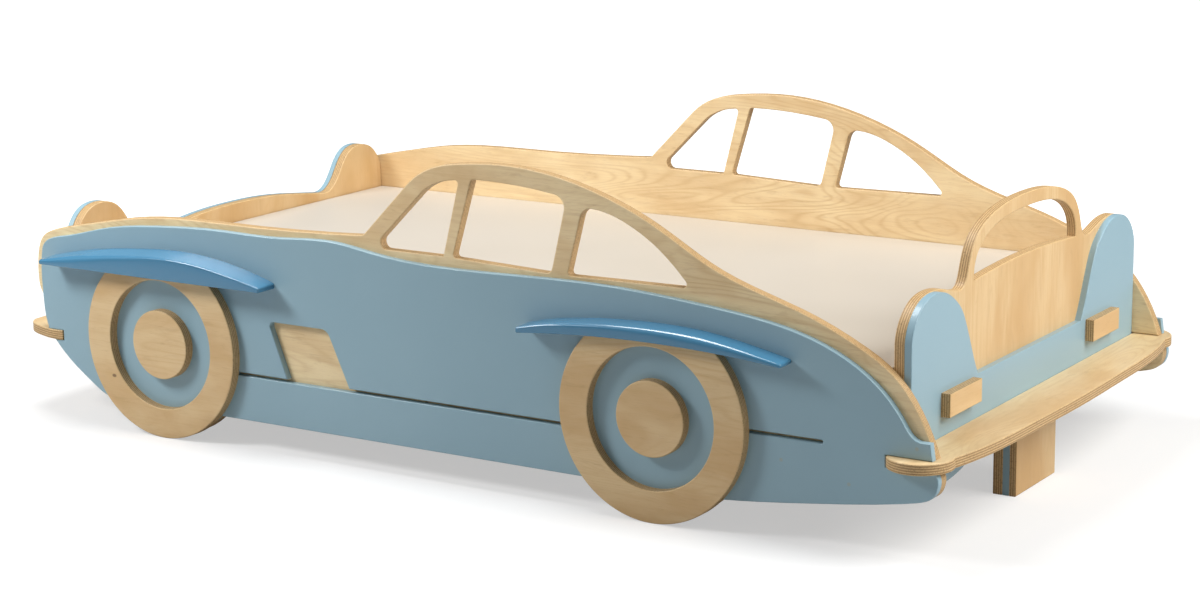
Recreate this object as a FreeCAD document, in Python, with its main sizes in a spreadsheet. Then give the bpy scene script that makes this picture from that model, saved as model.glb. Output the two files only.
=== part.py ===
# A child's bed in the shape of an old coupe, cut from birch plywood.
#
# Millimetres.  +X runs to the tail, +Z up, the floor is Z = 0, and the bed is centred on the origin.
# Every piece is a flat board or a small fitting.  The two sides stand between the floor and the roof
# line, the front and rear walls close the box between them, and the loose deck board lies on rails.

import FreeCAD, Part
import math
import os
import Sketcher

V = FreeCAD.Vector
doc = FreeCAD.newDocument("CarBed")

# ---------------------------------------------------------------------------------------------
# Driving sizes
# ---------------------------------------------------------------------------------------------

SIZES = [
    # boards
    ("ply", 18.0, "birch plywood of the sides, the inner walls and the bumpers"),
    ("skin", 12.0, "painted plywood of the side skins, the outer walls and the leg plates"),
    ("trim", 18.0, "plywood of the tyre rings and the hub discs"),
    ("easing", 2.0, "rounding of the birch edges"),
    ("skin_easing", 2.5, "rounding of the painted edges"),
    ("fit_gap", 0.5, "play between a board and the slot or walls that it fits between"),
    # the box
    ("inner_width", 916.0, "between the two side panels: a 90 cm mattress and its play"),
    ("deck_top", 297.0, "top of the deck board above the floor"),
    ("deck_board_thickness", 12.0, "deck board"),
    ("deck_play", 2.0, "gap round the deck board"),
    # wheels
    ("wheel_base", 1037.0, "front wheel centre to rear wheel centre"),
    ("tyre_radius", 173.0, "outside of a tyre ring, which stands on the floor"),
    ("tyre_bore", 118.5, "inside radius of a tyre ring"),
    ("hub_radius", 63.5, "radius of a hub disc"),
    ("lobe_inset", 3.0, "how far the side panels stay inside the tyre ring"),
    # overhangs, from the wheel centres
    ("front_overhang", 383.0, "front wheel centre to the front bumper's edge"),
    ("rear_overhang", 532.0, "rear wheel centre to the rear bumper's edge"),
    ("front_wall_reach", 263.0, "front wheel centre to the outer face of the painted front wall"),
    ("rear_wall_reach", 438.0, "rear wheel centre to the outer face of the painted rear wall"),
    # heights of the side outline
    ("roof_height", 555.5, "top of the roof line"),
    ("hood_height", 402.5, "top of the birch panel over the front wheel"),
    ("waist_height", 391.5, "window sill"),
    ("shoulder_height", 377.5, "top of the painted skin over the rear wheel"),
    ("sill_height", 53.0, "underside of the side panels between the wheels"),
    ("window_foot_round", 12.0, "rounding of the windows' long lower corners"),
    ("window_corner_round", 6.0, "rounding of the windows' other corners"),
    ("window_crown_round", 21.0, "rounding of the windows' upper corners at the rear pillars"),
    ("screen_round", 15.0, "rounding where the hood meets the windscreen pillar"),
    # side cut-outs
    ("groove", 6.0, "width of the two saw grooves through the skin"),
    ("vent_groove_height", 137.0, "middle of the groove between the wheels"),
    ("tail_groove_height", 173.0, "middle of the groove behind the rear wheel"),
    ("vent_height", 102.5, "air outlet above the middle of its groove"),
    ("vent_round", 8.0, "front upper corner of the air outlet"),
    ("vent_rear_round", 20.0, "rear upper corner of the air outlet"),
    # bumpers
    ("bumper_underside", 149.0, "underside of both bumpers"),
    ("slot_reach", 410.0, "rear wheel centre to the end of the rear bumper's slot"),
    ("front_slot_reach", 253.0, "front wheel centre to the end of the front bumper's slot"),
    ("slot_play", 2.0, "play between a bumper and the end of its slot"),
    ("bumper_lap", 26.0, "how far the rear bumper's tip stands out from the skin"),
    # walls
    ("leg_width", 165.0, "centre leg of each wall"),
    ("leg_shoulder", 140.0, "where the leg meets the wall's lower edge"),
    ("wall_underside", 88.0, "lowest stretch of each wall beside its leg"),
    ("rear_strip_height", 238.0, "painted rear wall between its two humps"),
    ("rear_hump_height", 399.0, "top of the rear humps"),
    ("headrest_height", 498.0, "top of the birch arch in the rear wall"),
    ("headrest_band", 23.0, "width of the arch's band at its crown"),
    ("bonnet_height", 334.0, "front wall in the middle"),
    ("front_hump_height", 396.0, "top of the front humps"),
    # eyebrow flares over the wheels
    ("front_flare_depth", 43.5, "front flare's stand-out from the skin"),
    ("front_flare_underside", 300.0, "flat underside of the front flare"),
    ("front_flare_rise", 47.0, "thickness of the front flare at its middle"),
    ("rear_flare_depth", 36.5, "rear flare's stand-out from the skin"),
    ("rear_flare_underside", 290.0, "underside of the rear flare at its ends"),
    ("rear_flare_rise", 38.0, "top of the rear flare at its middle above its end's underside"),
    # tail lamps
    ("lamp_length", 118.0, "tail-lamp block across the bed"),
    ("lamp_block_height", 38.0, "tail-lamp block upright"),
    ("lamp_depth", 16.0, "tail-lamp block from the wall"),
    ("lamp_inset", 165.0, "tail-lamp block's middle from the wall's edge"),
    ("lamp_underside", 199.0, "underside of a tail-lamp block"),
    # inner frame
    ("rail_thickness", 27.0, "rails and beams, thickness"),
    ("rail_depth", 45.0, "rails and beams, height"),
    ("post", 45.0, "square corner post"),
    ("post_foot", 130.0, "underside of a corner post"),
    ("beam_play", 0.5, "play of a beam's end in its notch"),
    # fittings
    ("bolt_shank", 6.0, "corner bolt"),
    ("bolt_head", 11.0, "corner bolt's head across"),
    ("bolt_head_depth", 5.0, "corner bolt's head"),
    ("insert_diameter", 9.0, "threaded insert"),
    ("insert_depth", 12.0, "threaded insert's length"),
    ("screw_shank", 4.0, "wood screw"),
    ("screw_head", 8.0, "wood screw's head across"),
    ("screw_head_depth", 2.5, "wood screw's head"),
    ("screw_bite", 12.0, "how deep a wood screw bites in the piece behind"),
    ("hole_play", 0.4, "how much wider a hole is than what it takes"),
]

BEAMS = 5
RAIL_SCREWS = 6
END_RAIL_SCREWS = 3
BUMPER_SCREWS = 4

sheet = doc.addObject("Spreadsheet::Sheet", "Sizes")
for row, (alias, value, meaning) in enumerate(SIZES, start=1):
    sheet.set(f"A{row}", alias)
    sheet.set(f"B{row}", str(value))
    sheet.set(f"C{row}", meaning)
    sheet.setAlias(f"B{row}", alias)
doc.recompute()


def size(alias):
    """A driving size, read from the sheet."""
    return float(sheet.get(alias))


# Places that follow from the driving sizes.
half_width = size("inner_width") / 2
rear_axle = (size("wheel_base") + size("front_overhang") - size("rear_overhang")) / 2
front_axle = rear_axle - size("wheel_base")
axle_height = size("tyre_radius")
nose = front_axle - size("front_overhang")
tail = rear_axle + size("rear_overhang")
rear_wall = rear_axle + size("rear_wall_reach")
rear_inner_face = rear_wall - size("skin") - size("ply")
front_wall = front_axle - size("front_wall_reach")
front_inner_face = front_wall + size("skin") + size("ply")
deck_underside = size("deck_top") - size("deck_board_thickness")
bumper_top = size("bumper_underside") + size("ply")
skin_face = half_width + size("ply") + size("skin")
lobe_radius = size("tyre_radius") - size("lobe_inset")
SIDES = (("left", -1), ("right", 1))

# ---------------------------------------------------------------------------------------------
# Outlines: a loop is a list of runs, a run of two points is a line and a longer one a curve
# ---------------------------------------------------------------------------------------------


def chain(start, *runs):
    """Joins runs, each given by its points after the first, into one loop of runs."""
    loop = []
    for run in runs:
        loop.append([start] + list(run))
        start = run[-1]
    return loop


def shifted(origin, points):
    """Points given from an origin, moved to where they are."""
    return [(origin[0] + a, origin[1] + b) for a, b in points]


def mirrored(runs):
    """The same runs on the other side of the middle, in the order that goes on round the loop."""
    return [[(-a, b) for a, b in reversed(run)] for run in reversed(runs)]


def symmetric(half):
    """A loop from the half that starts at the middle of the top and ends at the leg's corner."""
    crown = mirrored(half[:1])[0] + half[0][1:]
    left = mirrored(half[1:])
    return [crown] + half[1:] + [[half[-1][-1], left[0][0]]] + left


def ring_arc(centre, radius, height):
    """How far from a wheel's centre its circle passes a height."""
    return math.sqrt(radius ** 2 - (height - centre) ** 2)


def draw(sketch, loop):
    """Puts a loop into a sketch."""
    for run in loop:
        points = [V(a, b, 0) for a, b in run]
        if len(points) == 2:
            sketch.addGeometry(Part.LineSegment(*points), False)
        elif len(points) == 3:
            sketch.addGeometry(Part.Arc(*points), False)
        else:
            curve = Part.BSplineCurve()
            curve.interpolate(points)
            sketch.addGeometry(curve, False)


def draw_disc(sketch, alias):
    """A circle about the origin whose radius is bound to the sheet."""
    number = sketch.addGeometry(Part.Circle(V(0, 0, 0), V(0, 0, 1), size(alias)), False)
    constraint = sketch.addConstraint(Sketcher.Constraint("Radius", number, size(alias)))
    sketch.setExpression(f"Constraints[{constraint}]", f"Sizes.{alias}")


def draw_hole(sketch, centre, alias):
    """A round hole, hole_play wider than the size that it takes."""
    number = sketch.addGeometry(Part.Circle(V(*centre, 0), V(0, 0, 1), size(alias) / 2), False)
    constraint = sketch.addConstraint(Sketcher.Constraint("Diameter", number, size(alias)))
    sketch.setExpression(f"Constraints[{constraint}]", f"Sizes.{alias} + Sizes.hole_play")


# ---------------------------------------------------------------------------------------------
# Boards
# ---------------------------------------------------------------------------------------------

NORMALS = {"XY_Plane": V(0, 0, 1), "XZ_Plane": V(0, -1, 0), "YZ_Plane": V(1, 0, 0)}
FLAT = {
    "XY_Plane": lambda p: (p.x, p.y),
    "XZ_Plane": lambda p: (p.x, p.z),
    "YZ_Plane": lambda p: (p.y, p.z),
}


class Board:
    """A board cut from a sheet: an outline on one of its body's planes, padded to its thickness."""

    def __init__(self, name, plane, place, thickness, loops=(), circles=(), flip=False):
        self.name = name
        self.plane = plane
        self.flip = flip
        self.thickness = thickness
        self.body = doc.addObject("PartDesign::Body", name)
        self.body.Label = name
        outline = self.sketch("outline")
        for loop in loops:
            draw(outline, loop)
        for alias in circles:
            draw_disc(outline, alias)
        self.board = self.body.newObject("PartDesign::Pad", name + "_board")
        self.board.Profile = outline
        self.board.setExpression("Length", f"Sizes.{thickness}")
        self.board.Reversed = flip
        outline.Visibility = False
        self.body.Placement = FreeCAD.Placement(V(*place), FreeCAD.Rotation())
        doc.recompute()

    def sketch(self, what):
        sketch = self.body.newObject("Sketcher::SketchObject", f"{self.name}_{what}")
        origin = next(f for f in self.body.Origin.OriginFeatures if f.Role == self.plane)
        sketch.AttachmentSupport = [(origin, "")]
        sketch.MapMode = "FlatFace"
        return sketch

    def edges(self, wanted):
        """Names of the edges that a test on their sampled points picks."""
        names = []
        for number, edge in enumerate(self.body.Tip.Shape.Edges, start=1):
            if wanted(edge):
                names.append(f"Edge{number}")
        return names

    def upright(self, edge):
        """Whether an edge runs through the thickness."""
        run = edge.lastVertex().Point - edge.firstVertex().Point
        return abs(abs(run.dot(NORMALS[self.plane])) - run.Length) < 1e-6 < run.Length

    def corners(self, what, alias, *places):
        """Rounds the outline's corners at these places to one radius."""
        flat = FLAT[self.plane]
        names = []
        for place in places:
            best = None
            for number, edge in enumerate(self.body.Tip.Shape.Edges, start=1):
                if not self.upright(edge):
                    continue
                miss = math.dist(flat(edge.firstVertex().Point), place)
                if best is None or miss < best[0]:
                    best = (miss, f"Edge{number}")
            names.append(best[1])
        fillet = self.body.newObject("PartDesign::Fillet", f"{self.name}_{what}")
        fillet.Base = (self.board, names)
        fillet.setExpression("Radius", f"Sizes.{alias}")
        self.board = fillet
        doc.recompute()

    def ease(self, alias, faces=(0, 1)):
        """Rounds the rims of the board's faces: 0 is the face on the sketch plane, 1 the other."""
        normal = NORMALS[self.plane] * (-1 if self.flip else 1)
        levels = [face * size(self.thickness) for face in faces]

        def on_face(edge):
            first = edge.firstVertex().Point.dot(normal)
            middle = edge.valueAt((edge.FirstParameter + edge.LastParameter) / 2).dot(normal)
            return any(abs(first - level) < 1e-6 and abs(middle - level) < 1e-6 for level in levels)

        names = self.edges(on_face)
        fillet = self.body.newObject("PartDesign::Fillet", f"{self.name}_easing")
        fillet.Base = (self.board, names)
        fillet.setExpression("Radius", f"Sizes.{alias}")
        self.board = fillet
        doc.recompute()

    def cut(self, what, loop, depth):
        """Cuts a loop away, from the sketch plane into the board."""
        before = self.body.Tip.Shape.Volume
        sketch = self.sketch(what)
        draw(sketch, loop)
        self.pocket(what, sketch, depth, before)

    def pocket(self, what, sketch, depth, before):
        pocket = self.body.newObject("PartDesign::Pocket", f"{self.name}_{what}")
        pocket.Profile = sketch
        pocket.setExpression("Length", depth)
        pocket.Reversed = not self.flip
        sketch.Visibility = False
        self.board = pocket
        doc.recompute()
        if self.body.Tip.Shape.Volume > before - 1.0:
            raise RuntimeError(f"{self.name}: {what} cut nothing")

    def drill(self, what, places, alias, depth):
        """Holes from the sketch plane, hole_play wider than the size that they take."""
        before = self.body.Tip.Shape.Volume
        sketch = self.sketch(what)
        for centre in places:
            draw_hole(sketch, centre, alias)
        self.pocket(f"{what}_holes", sketch, depth, before)


def flat_bar(name, plane, place, thickness, low, high, flip=False):
    """A plain rectangular board."""
    (a0, b0), (a1, b1) = low, high
    loop = chain((a0, b0), [(a1, b0)], [(a1, b1)], [(a0, b1)], [(a0, b0)])
    return Board(name, plane, place, thickness, [loop], flip=flip)


# ---------------------------------------------------------------------------------------------
# Sides
# ---------------------------------------------------------------------------------------------

# Outline points run along the side as its edge does: each is an offset from a wheel's centre line
# and a height, from the floor or from the driving size that the outline functions name.

# From the rear wheel, heights from the roof.
WINDSCREEN_TOP = (-490, -46.5)
ROOF = [(-430, -13), (-370, -3.5), (-310, 0), (-200, -9), (-100, -35), (0, -77.5), (100, -132)]
ROOF += [(200, -167.5)]
# From the rear wheel, heights from the top of the hood.
COWL = [(-847, 0.5), (-697, 3.5)]
WINDSCREEN_FOOT = (-588, 9)
# From the rear wheel, heights from the floor.
TAIL = [(275, 364), (350, 331), (420, 286), (460, 234)]
REAR_CUT = (489, 494)
TAIL_UNDERSIDE = [(499, 138), (498, 126), (493, 114), (484, 106), (468, 100), (440, 94), (400, 87)]
TAIL_UNDERSIDE += [(300, 73), (220, 63)]
SKIN_STEP = [(485, 194.5), (472, 194.5)]
SKIN_TAIL = [(461, 196.5), (451, 204), (440, 220), (400, 268), (340, 309), (250, 342)]
# From the rear wheel, heights from the shoulder.
SKIN_SHOULDER = [(120, -15.5), (-100, 0), (-300, -2), (-450, -2.5), (-560, 6.5), (-645, 18)]
# From the front wheel, heights from the top of the hood.
HOOD = [(-284, -51.5), (-240, -39.5), (-160, -24), (-60, -7), (40, 0)]
SKIN_HOOD = [(260, -11.5), (137, -10.5), (-13, -16.5), (-143, -32.5), (-242, -55.5)]
# From the front wheel, heights from the floor.
NOSE_UNDERSIDE = [(-155, 57.5), (-190, 78), (-225, 102)]
NOSE_FOOT = -289
NOSE_UNDERCUT = 14
NOSE_EDGE = [(-296, 190), (-299.5, 218)]
NOSE_LIP = [(-309, 226), (-317, 238), (-321, 256), (-321, 285), (-316, 316), (-303, 340)]
SKIN_NOSE = [(-296, 190), (-300, 232), (-301, 265), (-298, 306), (-291, 328), (-278, 338)]
# Corners of the air outlet from the front wheel: its foot, and its head, which leans forward.
VENT_FOOT = (280, 417)
VENT_HEAD = (241.6, 371.7)
TAIL_GROOVE_END = 300


def rear(points, level=0.0):
    return shifted((rear_axle, level), points)


def front(points, level=0.0):
    return shifted((front_axle, level), points)


def wheel_lobe(axle):
    """Runs round the lobe behind a wheel, from the sill behind it to the sill ahead of it."""
    sill = size("sill_height")
    reach = ring_arc(axle_height, lobe_radius, sill)
    return [(axle, axle_height - lobe_radius), (axle - reach, sill)], axle + reach


def lower_runs():
    """The edge that panel and skin share, from the tail's slot down and forward to the nose's slot."""
    low, high = size("bumper_underside") - size("fit_gap"), bumper_top + size("fit_gap")
    slot_end = rear_axle + size("slot_reach")
    sill = size("sill_height")
    rear_lobe, rear_start = wheel_lobe(rear_axle)
    front_lobe, front_start = wheel_lobe(front_axle)
    front_slot_end = front_axle - size("front_slot_reach")
    upper_cut, lower_cut = REAR_CUT
    start = (rear_axle + upper_cut, high)
    runs = [
        [(slot_end, high)],
        [(slot_end, low)],
        rear([(lower_cut, low)]),
        rear(TAIL_UNDERSIDE) + [(rear_start, sill)],
        rear_lobe,
        [(front_start, sill)],
        front_lobe,
        front(NOSE_UNDERSIDE + [(NOSE_FOOT + NOSE_UNDERCUT, low)]),
        [(front_slot_end, low)],
        [(front_slot_end, high)],
        front([(NOSE_FOOT, high)]),
    ]
    return start, runs


def panel_outline():
    """The birch side panel: shared lower edge, nose, hood, windscreen, roof and tail."""
    start, runs = lower_runs()
    hood = size("hood_height")
    roof = size("roof_height")
    runs += [
        front(NOSE_EDGE),
        front(NOSE_LIP) + front(HOOD, hood) + rear(COWL + [WINDSCREEN_FOOT], hood),
        rear([WINDSCREEN_TOP], roof),
        rear(ROOF, roof) + rear(TAIL) + [start],
    ]
    return chain(start, *runs)


def skin_outline():
    """The painted skin: the same lower edge under a lower shoulder line."""
    start, runs = lower_runs()
    top = rear(SKIN_STEP[1:] + SKIN_TAIL)
    top += rear(SKIN_SHOULDER, size("shoulder_height"))
    top += front(SKIN_HOOD, size("hood_height"))
    runs += [front(SKIN_NOSE) + list(reversed(top)), rear(SKIN_STEP[:1]), [start]]
    return chain(start, *runs)


def window_outlines():
    """Three windows, front to back, standing on the waist line."""
    waist = size("waist_height")
    roof = size("roof_height")
    low = [
        (-568, 0), (-420, 0), (-401, -0.5), (-204, -7.5), (-172, -7.5), (60, -4.5),
    ]
    (a, b, c, d, e, f) = rear(low, waist)
    top = [
        (-462, -60.5), (-440, -45.5), (-415, -36.5), (-385, -33),
        (-359, -29.5), (-300, -30), (-235, -35), (-172, -44),
        (-141, -58), (-105, -60), (-50, -79.5), (0, -110.5), (37, -143.5),
    ]
    (g, h, i, j, k, l, m, n, o, p, q, r, u) = rear(top, roof)
    return [
        chain(a, [b], [j], [i, h, g], [a]),
        chain(c, [d], [n], [m, l, k], [c]),
        chain(e, [f], [u, r, q, p, o], [e]),
    ]


def vent_outline():
    """The air outlet and the groove that runs from tyre to tyre through its foot."""
    groove = size("groove") / 2
    middle = size("vent_groove_height")
    tuck = size("lobe_inset") * 2
    left = front_axle + ring_arc(axle_height, size("tyre_radius"), middle) - tuck
    right = rear_axle - ring_arc(axle_height, size("tyre_radius"), middle) + tuck
    low, high, top = middle - groove, middle + groove, middle + size("vent_height")
    foot_front, foot_rear = front([(reach, high) for reach in VENT_FOOT])
    head_front, head_rear = front([(reach, top) for reach in VENT_HEAD])
    return chain((left, low), [(right, low)], [(right, high)], [foot_rear], [head_rear],
                 [head_front], [foot_front], [(left, high)], [(left, low)])


def tail_groove_outline():
    """The short groove behind the rear tyre, with a round end."""
    groove = size("groove") / 2
    middle = size("tail_groove_height")
    start = rear_axle + size("tyre_radius") - size("lobe_inset") * 2
    end = rear_axle + TAIL_GROOVE_END
    return chain((start, middle - groove), [(end, middle - groove)],
                 [(end + groove, middle), (end, middle + groove)],
                 [(start, middle + groove)], [(start, middle - groove)])


# Flares are long eyebrows over the wheels, flat under the front ones and arched under the rear ones.
FLARE_REACH = {"front": (-263.0, 259.0), "rear": (-244.0, 248.0)}
FLARE_TIP = {"front": 9.0, "rear": 7.0}
REAR_FLARE_ARCH = 13.0


def flare_underside(wheel):
    """Run along the underside, from front to back, from the wheel's centre line."""
    low = size(f"{wheel}_flare_underside")
    ahead, behind = FLARE_REACH[wheel]
    if wheel == "front":
        return [(ahead, low), (behind, low)]
    return [(ahead, low), (0, low + REAR_FLARE_ARCH), (behind, low)]


def flare_outline(wheel, axle):
    low = size(f"{wheel}_flare_underside")
    under = shifted((axle, 0), flare_underside(wheel))
    (ahead, _), (behind, _) = under[0], under[-1]
    tip = low + FLARE_TIP[wheel]
    crown = (axle, low + size(f"{wheel}_flare_rise"))
    return chain(under[0], under[1:], [(behind, tip)], [crown, (ahead, tip)], [under[0]])


def side_corners():
    """Corners of the panel's outline and windows, by the size that rounds them."""
    waist = size("waist_height")
    roof = size("roof_height")
    return {
        "window_foot_round": rear([(-568, 0), (-204, -7.5)], waist),
        "window_corner_round": rear([(-401, -0.5), (60, -4.5), (-172, -7.5)], waist)
        + rear([(-385, -33), (-359, -29.5)], roof),
        "window_crown_round": rear([(-172, -44), (-141, -58)], roof),
        "screen_round": rear([WINDSCREEN_FOOT], size("hood_height")),
    }


def ring_top(wheel):
    """The top of a tyre ring, which is cut away along its flare's underside."""
    gap = size("fit_gap")
    under = shifted((0, -axle_height - gap), flare_underside(wheel))
    top = size("tyre_radius") + size("trim")
    return chain(under[0], under[1:], [(under[-1][0], top)], [(under[0][0], top)], [under[0]])


rail_low = deck_underside - size("rail_depth")
post_inner = half_width - size("post")
rail_face = half_width - size("rail_thickness")
rail_start = front_inner_face + size("post")
rail_end = rear_inner_face - size("post")
beam_places = [rail_start + (rail_end - rail_start) * (n + 1) / (BEAMS + 1) for n in range(BEAMS)]
rail_middle = rail_low + size("rail_depth") / 2
side_screw_places = [
    (rail_start + (rail_end - rail_start) * (n + 0.5) / RAIL_SCREWS, rail_low + size("rail_depth") / 4)
    for n in range(RAIL_SCREWS)
]
end_screw_places = [
    (post_inner * 2 * ((n + 0.5) / END_RAIL_SCREWS - 0.5), rail_middle) for n in range(END_RAIL_SCREWS)
]
bumper_screw_places = [
    (half_width * 1.6 * ((n + 0.5) / BUMPER_SCREWS - 0.5), size("bumper_underside") + size("ply") / 2)
    for n in range(BUMPER_SCREWS)
]
SIDE_BOLT_HEIGHTS = (180.0, 222.0)
WALL_BOLT_HEIGHTS = (158.0, 202.0)
post_middles = (front_inner_face + size("post") / 2, rear_inner_face - size("post") / 2)
side_bolt_places = [(x, z) for x in post_middles for z in SIDE_BOLT_HEIGHTS]
wall_bolt_places = [
    (sign * (half_width - size("post") / 2), z) for _, sign in SIDES for z in WALL_BOLT_HEIGHTS
]

nodes = {}


def keep(board):
    nodes[board.name] = board.body
    return board


for side, sign in SIDES:
    flip = sign > 0
    panel = keep(Board(f"side_panel_{side}", "XZ_Plane", (0, sign * half_width, 0), "ply",
                       [panel_outline()] + window_outlines(), flip=flip))
    for alias, places in side_corners().items():
        panel.corners(alias, alias, *places)
    panel.drill("insert", side_bolt_places, "insert_diameter", "Sizes.insert_depth")
    panel.drill("rail_screw", side_screw_places, "screw_shank", "Sizes.screw_bite")
    skin = keep(Board(f"side_skin_{side}", "XZ_Plane", (0, sign * (half_width + size("ply")), 0), "skin",
                      [skin_outline(), vent_outline(), tail_groove_outline()], flip=flip))
    vent_top = size("vent_groove_height") + size("vent_height")
    head_front, head_rear = front([(reach, vent_top) for reach in VENT_HEAD])
    skin.corners("vent_front", "vent_round", head_front)
    skin.corners("vent_rear", "vent_rear_round", head_rear)
    for wheel, axle in (("front", front_axle), ("rear", rear_axle)):
        place = (axle, sign * skin_face, axle_height)
        ring = keep(Board(f"tyre_ring_{wheel}_{side}", "XZ_Plane", place, "trim",
                          circles=("tyre_radius", "tyre_bore"), flip=flip))
        ring.ease("easing", faces=(1,))
        ring.cut("under_flare", ring_top(wheel), "Sizes.trim")
        hub = keep(Board(f"hub_disc_{wheel}_{side}", "XZ_Plane", place, "trim",
                         circles=("hub_radius",), flip=flip))
        hub.ease("easing", faces=(1,))

for side, sign in SIDES:
    for wheel, axle in (("front", front_axle), ("rear", rear_axle)):
        keep(Board(f"wheel_arch_flare_{wheel}_{side}", "XZ_Plane", (0, sign * skin_face, 0),
                   f"{wheel}_flare_depth", [flare_outline(wheel, axle)], flip=sign > 0))

# ---------------------------------------------------------------------------------------------
# Front and rear walls: a birch board inside, a painted board outside and a plate on the leg
# ---------------------------------------------------------------------------------------------

wall_edge = half_width - size("fit_gap")
# The walls' outlines below are drawn for a wall that reaches this far from the middle.
DRAWN_EDGE = 457.5


def spread(points, level=0.0):
    """Points of a wall's outline, spread to the real width and raised to their level."""
    return [(y * wall_edge / DRAWN_EDGE, level + z) for y, z in points]


def wall_foot():
    """Half of a wall below its shoulder: side, lower edge and centre leg."""
    leg = size("leg_width") / 2
    low = size("wall_underside")
    shoulder = size("leg_shoulder")
    return [
        [(wall_edge, low + 12)],
        spread([(392.5, 3), (327.5, 0), (250, 12)], low) + spread([(165, -10)], shoulder)
        + [(leg, shoulder)],
        [(leg, 0)],
    ]


REAR_HUMP_FALL = 64
FRONT_HUMP_FALL = 52
STRIP_REACH = 213


def rear_outer_outline():
    top = size("rear_hump_height")
    strip = size("rear_strip_height")
    hump = [(229, -134), (245, -101), (261, -69), (278, -43), (302, -23), (335, -6), (368, 0)]
    hump += [(408, -6), (432, -20), (450, -41)]
    corner = spread([(STRIP_REACH, 0)], strip)[0]
    half = chain((0, strip), [corner], spread(hump, top) + [(wall_edge, top - REAR_HUMP_FALL)], *wall_foot())
    loop = symmetric(half)
    loop[0] = [(-corner[0], strip), corner]
    return loop


def rear_inner_outline():
    arch = size("headrest_height")
    top = size("rear_hump_height")
    crown = [(0, 0), (104, -6.5), (160, -19.5), (202, -41.5), (228, -79.5), (246, -112)]
    hump = [(285, -13), (320, -4), (365, 1), (408, -6), (432, -20), (450, -41)]
    half = chain((0, arch), spread(crown[1:], arch) + spread([(256, -17)], top),
                 spread(hump, top) + [(wall_edge, top - REAR_HUMP_FALL)], *wall_foot())
    return symmetric(half)


HANDHOLD_DEPTH = 87.5
HANDHOLD_BOW = 9


def handhold_outline():
    """The opening under the arch, which follows it one band lower."""
    crown = size("headrest_height") - size("headrest_band")
    top = spread([(104, -6), (153, -18), (182, -33), (201, -52), (209, -76)], crown)
    foot = (top[-1][0], crown - HANDHOLD_DEPTH)
    middle = (0, foot[1] + HANDHOLD_BOW)
    upper = mirrored([[(0, crown)] + top])[0] + top
    return chain((-foot[0], foot[1]), [middle, foot], [upper[-1]], list(reversed(upper))[1:],
                 [(-foot[0], foot[1])])


def front_outline():
    bonnet = size("bonnet_height")
    top = size("front_hump_height")
    hump = [(292, -77), (316, -51), (336, -23), (358, -6), (390, 0), (425, -9), (446, -29)]
    half = chain((0, bonnet), spread([(110, -4), (210, -16), (262, -23)], bonnet),
                 spread(hump, top) + [(wall_edge, top - FRONT_HUMP_FALL)], *wall_foot())
    return symmetric(half)


def leg_outline():
    leg = size("leg_width") / 2
    low, high = 0.0, size("bumper_underside")
    return chain((-leg, low), [(leg, low)], [(leg, high)], [(-leg, high)], [(-leg, low)])


def add_wall(end, inner_face, sign, inner, outer, inner_holes):
    """One wall: sign is +1 where its boards lie behind the inner face towards the tail."""
    flip = sign < 0
    ply, skin = size("ply"), size("skin")
    board = keep(Board(f"{end}_inner_panel", "YZ_Plane", (inner_face, 0, 0), "ply",
                       [inner] + inner_holes, flip=flip))
    board.drill("insert", wall_bolt_places, "insert_diameter", "Sizes.insert_depth")
    board.drill("rail_screw", end_screw_places, "screw_shank", "Sizes.screw_bite")
    board.drill("bumper_screw", bumper_screw_places, "screw_shank", "Sizes.ply")
    painted = keep(Board(f"{end}_outer_panel", "YZ_Plane", (inner_face + sign * ply, 0, 0), "skin",
                         [outer], flip=flip))
    painted.drill("bumper_screw", bumper_screw_places, "screw_shank", "Sizes.skin")
    keep(Board(f"{end}_leg_plate", "YZ_Plane", (inner_face + sign * (ply + skin), 0, 0), "skin",
               [leg_outline()], flip=flip))


add_wall("rear", rear_inner_face, 1, rear_inner_outline(), rear_outer_outline(), [handhold_outline()])
add_wall("front", front_inner_face, -1, front_outline(), front_outline(), [])

for side, sign in SIDES:
    middle, reach = sign * (wall_edge - size("lamp_inset")), size("lamp_length") / 2
    low = size("lamp_underside")
    keep(flat_bar(f"tail_lamp_{side}", "YZ_Plane", (rear_wall, 0, 0), "lamp_depth",
                  (middle - reach, low), (middle + reach, low + size("lamp_block_height"))))

# ---------------------------------------------------------------------------------------------
# Bumpers: boards that lie in the slots of the sides and butt against the walls
# ---------------------------------------------------------------------------------------------


def bumper_outline(edge, tip, wall, slot_end):
    """A bumper in plan, from its outer edge round the tip, along the slot and back to the wall."""
    inner = half_width + size("fit_gap")
    half = [edge, tip, [tip[-1], (slot_end, inner)], [(slot_end, inner), (wall, inner)]]
    other = [[(x, -y) for x, y in reversed(run)] for run in reversed(half)]
    crown = other[-1] + half[0][1:]
    return [crown] + half[1:] + [[half[-1][-1], other[0][0]]] + other[:-1]


rear_tip = skin_face + size("bumper_lap")
rear_edge = shifted((tail, rear_tip), [(-3, -334), (-10, -164), (-25, -69)])
rear_edge.insert(0, (tail, 0))
rear_slot_start = rear_axle + size("slot_reach") + size("slot_play")
rear_end = [rear_edge[-1]] + shifted((tail, rear_tip), [(-38, -16), (-65, 0), (-95, -3)])
rear_end.append((rear_slot_start, rear_tip - 24))
front_edge = shifted((nose, skin_face), [(1, -308), (3, -158), (9, -48)])
front_edge.insert(0, (nose, 0))
front_slot_start = front_axle - size("front_slot_reach") - size("slot_play")
front_end = [front_edge[-1]] + shifted((nose, skin_face), [(27, -26), (65, -8), (99, 1.5)])
front_end.append((front_slot_start, skin_face + 1))

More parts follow.
